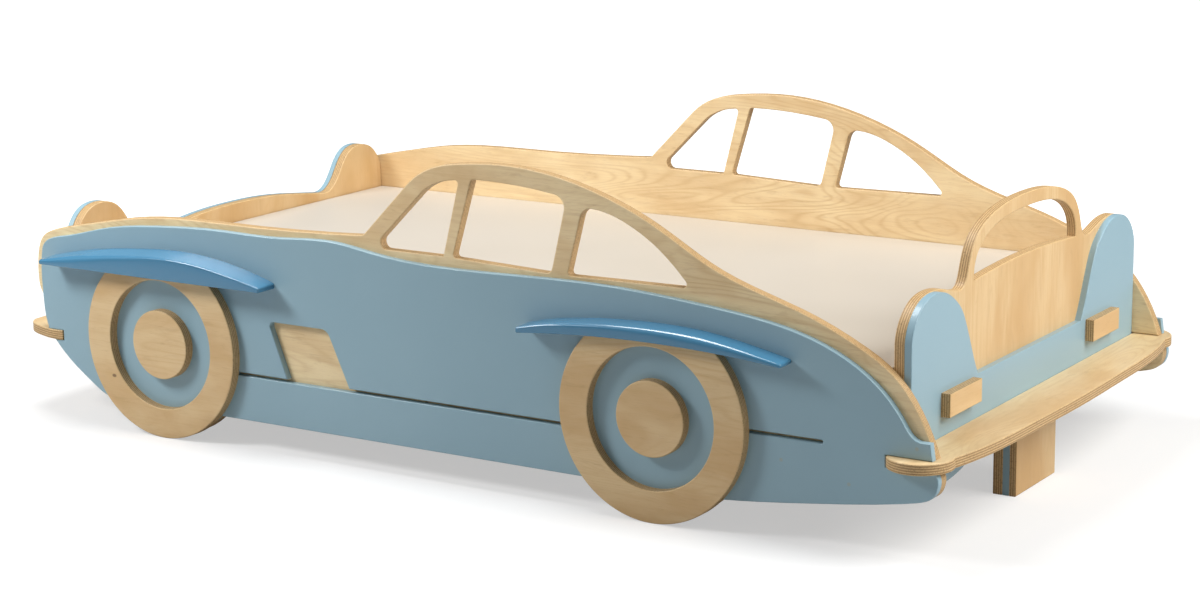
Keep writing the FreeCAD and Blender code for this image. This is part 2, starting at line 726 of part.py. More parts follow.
rear_bumper = keep(Board("rear_bumper", "XY_Plane", (0, 0, size("bumper_underside")), "ply",
                         [bumper_outline(rear_edge, rear_end, rear_wall, rear_end[-1][0])]))
front_bumper = keep(Board("front_bumper", "XY_Plane", (0, 0, size("bumper_underside")), "ply",
                          [bumper_outline(front_edge, front_end, front_wall, front_end[-1][0])]))

bumper_bite = size("screw_bite") * 2


def drill_inner_edge(board, reach, sign):
    """Screw holes along X into a bumper's inner edge, which lies at reach from the bed's middle."""
    before = board.body.Tip.Shape.Volume
    board.plane = "YZ_Plane"
    sketch = board.sketch("screws")
    for y, z in bumper_screw_places:
        draw_hole(sketch, (y, z - size("bumper_underside")), "screw_shank")
    board.flip = sign < 0
    board.pocket("screw_holes", sketch, f"{reach} + {bumper_bite}", before)


drill_inner_edge(rear_bumper, rear_wall, 1)
drill_inner_edge(front_bumper, -front_wall, -1)

# ---------------------------------------------------------------------------------------------
# Deck, and the rails, beams and posts that carry it
# ---------------------------------------------------------------------------------------------

play = size("deck_play")
keep(flat_bar("deck_board", "XY_Plane", (0, 0, deck_underside), "deck_board_thickness",
              (front_inner_face + play, -half_width + play), (rear_inner_face - play, half_width - play)))


def side_rail_outline():
    """A side rail with a notch in its top edge for each beam."""
    notch_floor = deck_underside - size("rail_depth") / 2
    reach = size("rail_thickness") / 2 + size("beam_play")
    runs = [[(rail_end, rail_low)], [(rail_end, deck_underside)]]
    for place in reversed(beam_places):
        runs += [[(place + reach, deck_underside)], [(place + reach, notch_floor)],
                 [(place - reach, notch_floor)], [(place - reach, deck_underside)]]
    runs += [[(rail_start, deck_underside)], [(rail_start, rail_low)]]
    return chain((rail_start, rail_low), *runs)


def beam_outline():
    """A beam across the bed, its ends halved to lie in the rails' notches."""
    notch_floor = deck_underside - size("rail_depth") / 2
    tip, shoulder = half_width - size("beam_play"), rail_face - size("beam_play")
    return chain((-tip, deck_underside), [(-tip, notch_floor)], [(-shoulder, notch_floor)],
                 [(-shoulder, rail_low)], [(shoulder, rail_low)], [(shoulder, notch_floor)],
                 [(tip, notch_floor)], [(tip, deck_underside)], [(-tip, deck_underside)])


for side, sign in SIDES:
    rail = keep(Board(f"side_rail_{side}", "XZ_Plane", (0, sign * half_width, 0), "rail_thickness",
                      [side_rail_outline()], flip=sign < 0))
    rail.drill("rail_screw", side_screw_places, "screw_shank", "Sizes.rail_thickness")
for end, face, sign in (("front", front_inner_face, 1), ("rear", rear_inner_face, -1)):
    rail = keep(flat_bar(f"{end}_rail", "YZ_Plane", (face, 0, 0), "rail_thickness",
                         (-post_inner, rail_low), (post_inner, deck_underside), flip=sign < 0))
    rail.drill("rail_screw", end_screw_places, "screw_shank", "Sizes.rail_thickness")
for number, place in enumerate(beam_places, start=1):
    keep(Board(f"deck_beam_{number}", "YZ_Plane", (place - size("rail_thickness") / 2, 0, 0),
               "rail_thickness", [beam_outline()]))


def add_post(name, face, end_sign, sign):
    """A corner post, bored for two bolts into the side and two into the wall."""
    post = size("post")
    low_x = face if end_sign < 0 else face - post
    low_y = half_width - post if sign > 0 else -half_width
    box = doc.addObject("Part::Box", name + "_block")
    box.setExpression("Length", "Sizes.post")
    box.setExpression("Width", "Sizes.post")
    box.setExpression("Height", f"{deck_underside} - Sizes.post_foot")
    box.Placement.Base = V(low_x, low_y, size("post_foot"))
    bores = []
    middle = (low_x + post / 2, low_y + post / 2)
    for number, height in enumerate(SIDE_BOLT_HEIGHTS + WALL_BOLT_HEIGHTS):
        along_side = height in SIDE_BOLT_HEIGHTS
        bore = doc.addObject("Part::Cylinder", f"{name}_bore_{number}")
        bore.setExpression("Radius", "(Sizes.bolt_shank + Sizes.hole_play) / 2")
        bore.setExpression("Height", "Sizes.post")
        if along_side:
            start, way = V(middle[0], low_y, height), FreeCAD.Rotation(V(1, 0, 0), -90)
        else:
            start, way = V(low_x, middle[1], height), FreeCAD.Rotation(V(0, 1, 0), 90)
        bore.Placement = FreeCAD.Placement(start, way)
        bores.append(bore)
    holes = doc.addObject("Part::MultiFuse", name + "_bores")
    holes.Shapes = bores
    cut = doc.addObject("Part::Cut", name)
    cut.Base = box
    cut.Tool = holes
    nodes[name] = cut


for end, face, end_sign in (("front", front_inner_face, -1), ("rear", rear_inner_face, 1)):
    for side, sign in SIDES:
        add_post(f"corner_post_{end}_{side}", face, end_sign, sign)

# ---------------------------------------------------------------------------------------------
# Fasteners: each kind is one node of separate solids
# ---------------------------------------------------------------------------------------------


def fastener(place, direction, grip, bite, shank, head, head_depth, point=0.0):
    """A head that bears on a surface at place, with its shank running in along direction."""
    drive = Part.makeCylinder(head / 4, head_depth / 2, V(0, 0, -head_depth), V(0, 0, 1))
    solid = Part.makeCylinder(head / 2, head_depth, V(0, 0, -head_depth)).cut(drive)
    solid = solid.fuse(Part.makeCylinder(shank / 2, grip + bite - point))
    if point:
        tip = Part.makeCone(shank / 2, shank / 8, point, V(0, 0, grip + bite - point))
        solid = solid.fuse(tip)
    solid.Placement = FreeCAD.Placement(place, FreeCAD.Rotation(V(0, 0, 1), direction))
    return solid.removeSplitter()


def group(name, solids):
    feature = doc.addObject("Part::Feature", name)
    feature.Shape = Part.makeCompound(solids)
    nodes[name] = feature


def wood_screw(place, direction, grip, bite):
    shank = size("screw_shank")
    return fastener(place, direction, grip, bite - 1.0, shank, size("screw_head"),
                    size("screw_head_depth"), point=shank)


rail_screws = []
for _, sign in SIDES:
    for x, z in side_screw_places:
        rail_screws.append(wood_screw(V(x, sign * rail_face, z), V(0, sign, 0),
                                      size("rail_thickness"), size("screw_bite")))
for face, sign in ((front_inner_face, -1), (rear_inner_face, 1)):
    for y, z in end_screw_places:
        rail_screws.append(wood_screw(V(face - sign * size("rail_thickness"), y, z), V(sign, 0, 0),
                                      size("rail_thickness"), size("screw_bite")))
group("rail_screws", rail_screws)

wall_thickness = size("ply") + size("skin")
for name, face, wall, sign in (("front_bumper", front_inner_face, front_wall, -1),
                               ("rear_bumper", rear_inner_face, rear_wall, 1)):
    group(name + "_screws", [wood_screw(V(face, y, z), V(sign, 0, 0), wall_thickness, bumper_bite)
                             for y, z in bumper_screw_places])

corner_bolts = []
bolt_inserts = []
bolt_bite = size("insert_depth") - 2.0


def add_bolt(place, direction):
    corner_bolts.append(fastener(place, direction, size("post"), bolt_bite, size("bolt_shank"),
                                 size("bolt_head"), size("bolt_head_depth")))
    start = place + direction * size("post")
    outer = Part.makeCylinder(size("insert_diameter") / 2, size("insert_depth"), start, direction)
    thread = (size("bolt_shank") + size("hole_play")) / 2
    bore = Part.makeCylinder(thread, size("insert_depth"), start, direction)
    bolt_inserts.append(outer.cut(bore))


for _, sign in SIDES:
    for x, z in side_bolt_places:
        add_bolt(V(x, sign * post_inner, z), V(0, sign, 0))
for face, sign in ((front_inner_face, -1), (rear_inner_face, 1)):
    for y, z in wall_bolt_places:
        add_bolt(V(face - sign * size("post"), y, z), V(sign, 0, 0))
group("corner_bolts", corner_bolts)
group("bolt_inserts", bolt_inserts)

# ---------------------------------------------------------------------------------------------
# Check and write
# ---------------------------------------------------------------------------------------------

doc.recompute()
for thing in doc.Objects:
    if "Invalid" in thing.State or "Error" in thing.State:
        raise RuntimeError(f"{thing.Name} failed: {thing.State}")
os.makedirs("parts", exist_ok=True)
for name, thing in nodes.items():
    if thing.Shape.isNull() or not thing.Shape.isValid():
        raise RuntimeError(f"{name} has no valid shape")
for name, thing in nodes.items():
    thing.Label = name
    thing.Shape.exportStep(f"parts/{name}.step")
total = Part.makeCompound([thing.Shape for thing in nodes.values()]).BoundBox
print(len(nodes), "nodes,", "box", [round(n, 2) for n in (total.XMin, total.XMax, total.YMin, total.YMax,
                                                          total.ZMin, total.ZMax)])
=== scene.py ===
# %% [markdown]
# # A child's car bed
#
# This lesson dresses a plywood bed that is cut in the shape of an old coupe. The boards already
# exist as plain solids: sides, skins, rings, walls, bumpers and deck. What is missing is what the
# eye reads first, so the cells below round the cut edges, lay birch veneer and paint on the
# boards, shape the glossy wheel-arch flares and set the bed on a pale studio floor.

import math

import bmesh
import bpy
from mathutils import Matrix, Vector


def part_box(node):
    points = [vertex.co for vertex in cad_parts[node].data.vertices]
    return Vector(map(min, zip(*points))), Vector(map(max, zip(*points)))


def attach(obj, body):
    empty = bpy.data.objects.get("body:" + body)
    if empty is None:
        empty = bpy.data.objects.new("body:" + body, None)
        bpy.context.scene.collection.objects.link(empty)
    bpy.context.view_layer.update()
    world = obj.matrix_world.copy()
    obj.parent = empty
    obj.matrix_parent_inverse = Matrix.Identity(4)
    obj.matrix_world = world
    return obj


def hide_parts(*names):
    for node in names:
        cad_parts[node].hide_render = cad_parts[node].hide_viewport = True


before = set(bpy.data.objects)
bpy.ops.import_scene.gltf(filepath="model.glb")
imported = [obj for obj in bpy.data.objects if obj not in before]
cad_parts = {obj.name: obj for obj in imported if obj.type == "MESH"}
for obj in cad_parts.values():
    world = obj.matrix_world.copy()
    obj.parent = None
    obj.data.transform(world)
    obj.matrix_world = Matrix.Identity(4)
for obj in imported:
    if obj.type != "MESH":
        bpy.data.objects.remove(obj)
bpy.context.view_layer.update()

# %% [markdown]
# ## A small language for finishes
#
# A finish is a formula over the surface. Blender draws formulas as nodes, which are slow to read,
# so one class wraps a socket and lets Python's own operators add the Math nodes. `1 - mask` then
# reads as it would on paper. Colours never go through those operators, because a Math node turns
# a colour grey: they are blended with a Mix node.

# %% Sockets that can be added and multiplied
X, Y, Z = 0, 1, 2
RELIEF = 0.0002
# A Mix node's colour sockets share their names with its number sockets, so they go by place.
MIX_SHARE, MIX_FIRST, MIX_SECOND, MIX_RESULT = 0, 6, 7, 2


class Term:
    """One output socket, usable in an expression."""

    def __init__(self, finish, socket):
        self.finish = finish
        self.socket = socket

    def math(self, operation, *others):
        return self.finish.add("ShaderNodeMath", {"operation": operation}, [self, *others])

    def __add__(self, other):
        return self.math("ADD", other)

    __radd__ = __add__

    def __mul__(self, other):
        return self.math("MULTIPLY", other)

    __rmul__ = __mul__

    def __sub__(self, other):
        return self.math("SUBTRACT", other)

    def __rsub__(self, other):
        return self.finish.add("ShaderNodeMath", {"operation": "SUBTRACT"}, [other, self])

    def __pow__(self, power):
        return self.math("POWER", power)

    def sine(self):
        return self.math("SINE")

    def fraction(self):
        return self.math("FRACT")

    def size(self):
        return self.math("ABSOLUTE")

    def step(self, low, high):
        """0 below low and 1 above high, with a soft step between; turned round if low > high."""
        settings = {"interpolation_type": "SMOOTHSTEP"}
        if low < high:
            return self.finish.add("ShaderNodeMapRange", settings, [self, low, high, 0.0, 1.0])
        return self.finish.add("ShaderNodeMapRange", settings, [self, high, low, 1.0, 0.0])


class Finish:
    """A material under construction, around one Principled shader."""

    def __init__(self, name):
        self.material = bpy.data.materials.new(name)
        self.material.use_nodes = True
        self.nodes = self.material.node_tree.nodes
        self.links = self.material.node_tree.links
        self.nodes.clear()
        self.output = self.nodes.new("ShaderNodeOutputMaterial")
        self.shader = self.nodes.new("ShaderNodeBsdfPrincipled")
        self.links.new(self.shader.outputs[0], self.output.inputs[0])

    def put(self, socket, value):
        if isinstance(value, Term):
            self.links.new(value.socket, socket)
        else:
            socket.default_value = value

    def add(self, kind, settings=None, values=(), out=0):
        """Adds a node: settings first, then inputs, by place in a list or by key in a dict."""
        node = self.nodes.new(kind)
        for key, setting in (settings or {}).items():
            setattr(node, key, setting)
        pairs = values.items() if isinstance(values, dict) else enumerate(values)
        for key, value in pairs:
            self.put(node.inputs[key], value)
        return Term(self, node.outputs[out])

    def parts(self, vector):
        return [self.add("ShaderNodeSeparateXYZ", values=[vector], out=axis) for axis in (X, Y, Z)]

    def place(self):
        """X, Y and Z of the surface point, in metres."""
        return self.parts(self.add("ShaderNodeTexCoord", out="Object"))

    def facing(self):
        """The three parts of the surface's normal."""
        return self.parts(self.add("ShaderNodeNewGeometry", out="Normal"))

    def point(self, *parts):
        return self.add("ShaderNodeCombineXYZ", values=list(parts))

    def noise(self, point, detail=2.0, roughness=0.5, distortion=0.0):
        values = {"Vector": point, "Scale": 1.0, "Detail": detail, "Roughness": roughness}
        values["Distortion"] = distortion
        return self.add("ShaderNodeTexNoise", values=values)

    def speckle(self, parts, per_metre, detail=2.0):
        """Noise with the same number of cells per metre all ways."""
        return self.noise(self.point(*[part * per_metre for part in parts]), detail)

    def blend(self, share, first, second):
        """A colour between two colours."""
        values = {MIX_SHARE: share, MIX_FIRST: first, MIX_SECOND: second}
        return self.add("ShaderNodeMix", {"data_type": "RGBA"}, values, MIX_RESULT)

    def bump(self, height, strength):
        values = {"Strength": strength, "Distance": RELIEF, "Height": height}
        return self.add("ShaderNodeBump", values=values)

    def wear(self, **sockets):
        """Sets the shader's sockets by name, with _ for a space, and returns the material."""
        for name, value in sockets.items():
            self.put(self.shader.inputs[name.replace("_", " ")], value)
        return self.material


def srgb(red, green, blue):
    """A colour as a painter names it, 0 to 255, in the light that shaders add up."""

    def linear(part):
        part /= 255
        return part / 12.92 if part <= 0.04045 else ((part + 0.055) / 1.055) ** 2.4

    return (linear(red), linear(green), linear(blue), 1.0)


# %% [markdown]
# ## Birch plywood
#
# Birch ply shows three things. Its face is one rotary-cut veneer: pale straw with long, loose
# contour lines, fine fibres, a few warm clouds and pin knots. Its edge shows the plies, light
# and dark in turn. And where the router rounded the rim, both meet. One formula makes all three:
# the normal says whether a point lies on a face or an edge, and the coordinate through the
# thickness numbers the plies, so the stripes turn every corner by themselves.

# %% What birch ply is made of
PLY = 0.018
PLIES = 9
STRAW = srgb(252, 228, 182)
HONEY = srgb(214, 176, 121)
CLOUD = srgb(242, 211, 162)
FIBRE = srgb(192, 153, 104)
KNOT = srgb(96, 58, 34)
PLY_LIGHT = srgb(226, 194, 142)
PLY_DARK = srgb(182, 143, 94)
GLUE = srgb(112, 78, 48)
SILK = srgb(250, 229, 190)
TAN = srgb(202, 159, 102)

# Cells per metre along and across the grain, then the radii of knots in cells, from out to in.
KNOT_CELLS, PIN_CELLS, FIBRE_CELLS = (3.2, 5.5), (11, 17), (18, 620)
KNOT_CORE, KNOT_HALO, PIN_KNOT = (0.034, 0.014), (0.15, 0.02), (0.07, 0.035)
PIN_CLEAR, CLEAR_EDGE = 0.66, 0.02
# The contour lines follow a slow sweep: its cells, detail and distortion, and lines per unit.
LOOSE_SWEEP = ((1.0, 4.6), 2.5, 0.5)
STRAIGHT_SWEEP = ((0.4, 13), 2.0, 0.1)
CONTOURS, KNOT_SWIRL = 260.0, 0.03
# The rest of the figure: cells, a layer of the noise for each, the noise's detail, roughness
# and distortion, and the values between which it comes in.
FIGURE = {
    "faded": ((1.7, 3.4), 4.0, (1.5, 0.5, 0.0), (0.40, 0.68)),
    "flecks": ((48, 900), 9.0, (1.0, 0.5, 0.0), (0.60, 0.74)),
    "streaks": ((5, 120), 3.0, (3.0, 0.6, 0.0), (0.46, 0.72)),
    "stains": ((13, 70), 6.0, (3.0, 0.65, 0.6), (0.56, 0.74)),
    "cloud": ((3.1, 8.5), 7.0, (3.0, 0.6, 0.4), (0.36, 0.68)),
    "silk": ((16, 30), 2.0, (2.0, 0.5, 0.8), (0.45, 0.75)),
}
# In plies: how far one wanders, where it gives way to the next, and where the glue comes in.
RAGGED, PLY_CHANGE, GLUE_LINE = 0.16, (0.49, 0.51), (0.43, 0.49)
RAGGED_CELLS, PORE_CELLS, PORES_IN = 60, 420, (0.5, 0.72)
# How squarely the surface has to look along the thickness to count as a face.
FACE_ON = (0.80, 0.94)


# %% Birch formula
def spots(f, cells, clear):
    """The distance to scattered spots, and a mask over those of them that aren't left clear."""
    settings = {"feature": "F1", "voronoi_dimensions": "3D"}
    values = {"Vector": cells, "Scale": 1.0}
    distance = f.add("ShaderNodeTexVoronoi", settings, values)
    colour = f.add("ShaderNodeTexVoronoi", settings, values, out="Color")
    red = f.add("ShaderNodeSeparateColor", values=[colour])
    return distance, red.step(clear, clear + CLEAR_EDGE)


def birch_edge(f, along, cross, depth, start):
    """The colour of the cut plies, and a mask over the dark ones."""
    ragged = f.speckle((along, cross, depth), RAGGED_CELLS)
    ply = (depth - start) * (PLIES / PLY) + ragged * RAGGED
    dark = (ply * 0.5).fraction().step(*PLY_CHANGE)
    seam = (ply.fraction() - 0.5).size().step(*GLUE_LINE)
    pores = f.speckle((along, cross, depth), PORE_CELLS, 1.0).step(*PORES_IN)
    edge = f.blend(dark, PLY_LIGHT, PLY_DARK)
    edge = f.blend(pores * 0.35 + ragged * 0.2, edge, GLUE)
    return f.blend(seam * 0.3, edge, GLUE), dark


def birch(name, grain, across, thick, start, offset, tone=0.1, clear=0.7, straight=False):
    """Birch ply, its veneer along grain and its plies along thick from start.

    The offset picks a stretch of veneer, tone warms it and clear is the share without knots.
    """
    f = Finish(name)
    place = f.place()
    along, cross, depth = place[grain] + offset[0], place[across] + offset[1], place[thick]
    side = f.facing()[thick]

    def cells(per_metre, layer):
        return f.point(along * per_metre[0], cross * per_metre[1], layer)

    # Knots first, because the figure swirls round them.
    knot, knotty = spots(f, cells(KNOT_CELLS, offset[0] + 0.5), clear)
    core = knot.step(*KNOT_CORE) * knotty
    halo = knot.step(*KNOT_HALO) * knotty
    speck, specked = spots(f, cells(PIN_CELLS, offset[1] + 2.5), PIN_CLEAR)
    pins = speck.step(*PIN_KNOT) * specked

    # The two faces of a board are different sheets of veneer, so each has a layer of its own.
    per_metre, detail, distortion = STRAIGHT_SWEEP if straight else LOOSE_SWEEP
    sweep = f.noise(cells(per_metre, side.step(-0.5, 0.5) * 3), detail, 0.5, distortion)
    rings = ((sweep + halo * KNOT_SWIRL) * CONTOURS).sine() * 0.5 + 0.5
    fibres = f.noise(cells(FIBRE_CELLS, depth * 40), 2.0, 0.6)
    faded, flecks, streaks, stains, cloud, silk = (
        f.noise(cells(per_metre, layer), *kind).step(*comes_in)
        for per_metre, layer, kind, comes_in in FIGURE.values()
    )

    face = f.blend(cloud * 0.8, STRAW, CLOUD)
    face = f.blend(silk * 0.3, face, SILK)
    face = f.blend(cloud * 0.28 + tone, face, TAN)
    face = f.blend((rings ** 3.0) * (faded * 0.34 + 0.1), face, HONEY)
    face = f.blend(streaks * (0.6 if straight else 0.3), face, HONEY)
    face = f.blend((fibres - 0.5).size() * 0.4 + flecks * 0.25 + stains * 0.28, face, FIBRE)
    face = f.blend(halo * 0.55, face, FIBRE)
    face = f.blend(core * 0.9 + pins * 0.75, face, KNOT)

    edge, dark = birch_edge(f, along, cross, depth, start)
    flat = side.size().step(*FACE_ON)
    height = fibres * 0.35 - core * 0.5 - (1 - flat) * (dark * 0.5)
    return f.wear(
        Base_Color=f.blend(flat, edge, face),
        Roughness=0.5 - flat * 0.08 + fibres * 0.1,
        Coat_Weight=0.12,
        Coat_Roughness=0.3,
        Normal=f.bump(height, 0.35),
    )


# %% [markdown]
# ## Paint, coating, softwood and zinc
#
# The skins are sprayed and rolled: an even colour, a faint orange peel, and the softened rim
# that catches the light. Where screws were filled, the paint has a faint warmer dot. The flares
# have a harder gloss. The deck is a coated board, and below it the rails are planed spruce, held
# with zinc-plated screws.

# %% Paint
SKIN_BLUE = srgb(152, 184, 198)
SKIN_BLUE_DEEP = srgb(145, 178, 193)
FLARE_BLUE = srgb(74, 136, 172)
FLARE_BLUE_DEEP = srgb(66, 128, 165)
FILLER = srgb(178, 166, 128)
SATIN = {"roughness": 0.33, "coat": 0.2, "peel": 0.08}
GLOSS = {"roughness": 0.2, "coat": 0.8, "peel": 0.015}
# Where the filled screws are on the skins, along the bed and above the floor, and their radii.
FILLINGS = ((0.907, 0.184), (0.7925, 0.112), (0.674, 0.1345), (-0.692, 0.312))
FILLING = (0.0036, 0.0024)


def paint(name, colour, deeper, roughness, coat, peel, fillings=()):
    """A sprayed coat: even colour with slow drifts, a fine orange peel and filled screw heads."""
    f = Finish(name)
    place = f.place()
    drift = f.speckle(place, 3).step(0.3, 0.7)
    speck = f.speckle(place, 900, 1.0)
    skin = f.speckle(place, 260)
    coat_colour = f.blend(drift * 0.5 + speck * 0.12, colour, deeper)
    for spot_x, spot_z in fillings:
        reach = ((place[X] - spot_x) ** 2.0 + (place[Z] - spot_z) ** 2.0) ** 0.5
        coat_colour = f.blend(reach.step(*FILLING) * 0.35, coat_colour, FILLER)
    return f.wear(
        Base_Color=coat_colour,
        Roughness=roughness + skin * 0.08,
        Coat_Weight=coat,
        Coat_Roughness=0.06,
        Normal=f.bump(skin, peel),
    )


skin_paint = paint("blue_skin_paint", SKIN_BLUE, SKIN_BLUE_DEEP, fillings=FILLINGS, **SATIN)
wall_paint = paint("blue_wall_paint", SKIN_BLUE, SKIN_BLUE_DEEP, **SATIN)
flare_paint = paint("gloss_flare_paint", FLARE_BLUE, FLARE_BLUE_DEEP, **GLOSS)


# %% Coated board, spruce and zinc
def coated_board(name):
    """The deck's cream coating, faintly pebbled."""
    f = Finish(name)
    place = f.place()
    pebble = f.speckle(place, 700)
    drift = f.speckle(place, 2).step(0.35, 0.65)
    cream, deeper = srgb(205, 197, 185), srgb(198, 189, 175)
    return f.wear(
        Base_Color=f.blend(drift * 0.5 + pebble * 0.2, cream, deeper),
        Roughness=0.42 + pebble * 0.12,
        Normal=f.bump(pebble, 0.25),
    )


def spruce(name, grain, across, up):
    """Planed softwood: straight annual rings, darker and narrower where the summer ended."""
    f = Finish(name)
    place = f.place()
    along, wide, tall = place[grain], place[across], place[up]
    bend = f.noise(f.point(along * 1.4, wide * 6, tall * 6), 1.0)
    rings = ((wide + tall * 0.6 + bend * 0.02) * 260).fraction() ** 3.0
    fibres = f.noise(f.point(along * 30, wide * 900, tall * 900))
    spring, summer = srgb(224, 190, 142), srgb(178, 128, 78)
    colour = f.blend(rings * 0.55 + fibres * 0.15, spring, summer)
    return f.wear(Base_Color=colour, Roughness=0.6, Normal=f.bump(fibres, 0.3))


def zinc(name):
    """Zinc plate: grey metal with a slightly cloudy sheen."""
    f = Finish(name)
    cloud = f.speckle(f.place(), 240, 3.0)
    colour = f.blend(cloud, srgb(196, 198, 204), srgb(160, 164, 172))
    return f.wear(Base_Color=colour, Metallic=1.0, Roughness=cloud * 0.2 + 0.25)


deck_coating = coated_board("cream_deck_coating")
rail_wood = spruce("spruce_along_bed", X, Y, Z)
cross_wood = spruce("spruce_across_bed", Y, X, Z)
post_wood = spruce("spruce_upright", Z, X, Y)
zinc_plate = zinc("zinc_plate")

# %% [markdown]
# ## Boards with rounded rims
#
# A router ran round every board, inside the windows too. The solids have sharp rims, so each
# board is cut again from its own outline. The outline is read off the solid's flat face, and a
# rim profile is swept round it: a quarter round, a straight edge, another quarter round. A thin
# ring of flat material beside each round keeps the shading of the faces clean. Drill holes that
# other boards cover are left out.

# %% Read outlines
SAME_POINT = 1e-6
ON_FACE = 1e-5
# An opening that is shorter all round than this is a drill hole.
DRILL_HOLE_ROUND = 0.060


def area_of(loop):
    """Twice the signed area inside a loop of points."""
    return sum(a[0] * b[1] - b[0] * a[1] for a, b in zip(loop, loop[1:] + loop[:1]))


def length_of(loop):
    return sum(math.dist(a, b) for a, b in zip(loop, loop[1:] + loop[:1]))


def solid_mesh(node):
    """A node's solids, with doubled points joined."""
    work = bmesh.new()
    work.from_mesh(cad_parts[node].data)
    bmesh.ops.remove_doubles(work, verts=work.verts, dist=SAME_POINT)
    return work


def outline_loops(node, axis, level):
    """Loops round a board's flat face: the outer one anticlockwise, the openings clockwise."""
    work = solid_mesh(node)
    flat = set()
    for face in work.faces:
        if all(abs(vertex.co[axis] - level) < ON_FACE for vertex in face.verts):
            flat.add(face)
    ways = {}
    for edge in work.edges:
        if sum(face in flat for face in edge.link_faces) == 1:
            for vertex in edge.verts:
                ways.setdefault(vertex, []).append(edge.other_vert(vertex))
    loops = []
    while ways:
        first = here = next(iter(ways))
        loop = []
        before = None
        while here in ways:
            loop.append((here.co[(axis + 1) % 3], here.co[(axis + 2) % 3]))
            onward = [v for v in ways.pop(here) if v is not before and (v in ways or v is first)]
            before = here
            here = onward[0] if onward else first
        loops.append(loop)
    work.free()
    loops = [loop for loop in loops if length_of(loop) > DRILL_HOLE_ROUND]
    loops.sort(key=lambda loop: -abs(area_of(loop)))
    for number, loop in enumerate(loops):
        if (area_of(loop) > 0) != (number == 0):
            loop.reverse()
    return loops


# %% Cut boards
RIM_STEPS = 5
RING = 0.0006
CORNER = math.radians(25)
# Keeps the mitre short where a loop turns back on itself.
MITRE_LIMIT = 0.2
# How far rims are rounded. A rim that meets another board stays sharp.
SHARP, COATED, PLANED, LAMP, PAINTED, ROUTED = 0.0, 0.0008, 0.001, 0.0012, 0.0018, 0.002


def in_scene(name, data):
    """A new object in the scene, from a mesh, a light or a camera."""
    thing = bpy.data.objects.new(name, data)
    bpy.context.scene.collection.objects.link(thing)
    return thing


def mesh_in_scene(name, work):
    """A new object in the scene, from a mesh under construction."""
    mesh = bpy.data.meshes.new(name)
    work.to_mesh(mesh)
    work.free()
    return in_scene(name, mesh)


def corner_ways(loop):
    """For each point of a loop, the mitre that leads out of the material and the turn there."""
    ways = []
    for number, here in enumerate(loop):
        before, after = loop[number - 1], loop[(number + 1) % len(loop)]
        came = Vector((here[0] - before[0], here[1] - before[1])).normalized()
        goes = Vector((after[0] - here[0], after[1] - here[1])).normalized()
        out_came, out_goes = Vector((came.y, -came.x)), Vector((goes.y, -goes.x))
        mitre = (out_came + out_goes) / max(1 + out_came.dot(out_goes), MITRE_LIMIT)
        ways.append((mitre, came.angle(goes, 0)))
    return ways


def quarter_round(radius, steps):
    """(reach, inset) along a quarter round, from its outer end to where it meets the flat."""
    angles = [math.pi / 2 * step / steps for step in range(steps + 1)]
    return [(radius * (1 - math.cos(a)), radius * (1 - math.sin(a))) for a in angles]


def rim_profile(thick, back, front):
    """(inset, depth) round a rim, from the back face to the front face; 0 leaves an edge sharp."""
    profile = [(0.0, 0.0)]
    if back:
        profile = [(back + RING, 0.0)]
        profile += [(inset, reach) for reach, inset in quarter_round(back, RIM_STEPS)]
        profile += [(0.0, back + RING)]
    if front:
        rounded = quarter_round(front, RIM_STEPS)
        profile += [(0.0, thick - front - RING)]
        profile += [(inset, thick - reach) for reach, inset in reversed(rounded)]
        profile += [(front + RING, thick)]
    else:
        profile += [(0.0, thick)]
    return profile


def cut_board(name, loops, axis, level, out, profile):
    """Sweeps a rim profile round the loops and closes both faces."""
    work = bmesh.new()
    ends = ([], [])
    for loop in loops:
        ways = corner_ways(loop)
        rings = []
        for inset, depth in profile:
            ring = []
            for (u, v), (mitre, _) in zip(loop, ways):
                spot = [0.0, 0.0, 0.0]
                spot[axis] = level + out * depth
                spot[(axis + 1) % 3] = u - mitre.x * inset
                spot[(axis + 2) % 3] = v - mitre.y * inset
                ring.append(work.verts.new(spot))
            rings.append(ring)
        count = len(loop)
        for low, high in zip(rings, rings[1:]):
            for number in range(count):
                after = (number + 1) % count
                work.faces.new((low[number], low[after], high[after], high[number]))
        for number, (_, turn) in enumerate(ways):
            if turn > CORNER:
                for low, high in zip(rings, rings[1:]):
                    work.edges.get((low[number], high[number])).smooth = False
        for end, ring in zip(ends, (rings[0], rings[-1])):
            end += [work.edges.get((ring[n], ring[(n + 1) % count])) for n in range(count)]
    for end, (inset, _) in zip(ends, (profile[0], profile[-1])):
        bmesh.ops.triangle_fill(work, use_beauty=True, edges=end)
        if not inset:
            for edge in end:
                edge.smooth = False
    for face in work.faces:
        face.smooth = True
    bmesh.ops.recalc_face_normals(work, faces=work.faces)
    return mesh_in_scene(name, work)


def board(node, axis, out, material, slot, back=ROUTED, front=ROUTED):
    """A board with rounded rims in place of its node; out is the way that its front looks."""
    low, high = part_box(node)
    level = low[axis] if out > 0 else high[axis]
    loops = outline_loops(node, axis, level)
    profile = rim_profile(high[axis] - low[axis], back, front)
    piece = cut_board(node + "_board", loops, axis, level, out, profile)
    piece.data.materials.append(material)
    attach(piece, "deck" if node == "deck_board" else "bed_frame")
    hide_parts(node)


# %% [markdown]
# ## Sides, wheels and walls
#
# The birch boards each show another stretch of veneer, as they do when they are cut from one
# sheet. Painted boards, tyre rings and hub discs are glued on, so only their outer rims are
# rounded. The walls are cut with the grain upright, and the rear one is much straighter in the
# grain than the rest.

# %% Birch boards
SIDES = (("left", -1), ("right", 1))
ENDS = (("front", -1), ("rear", 1))
WHEELS = ("front", "rear")


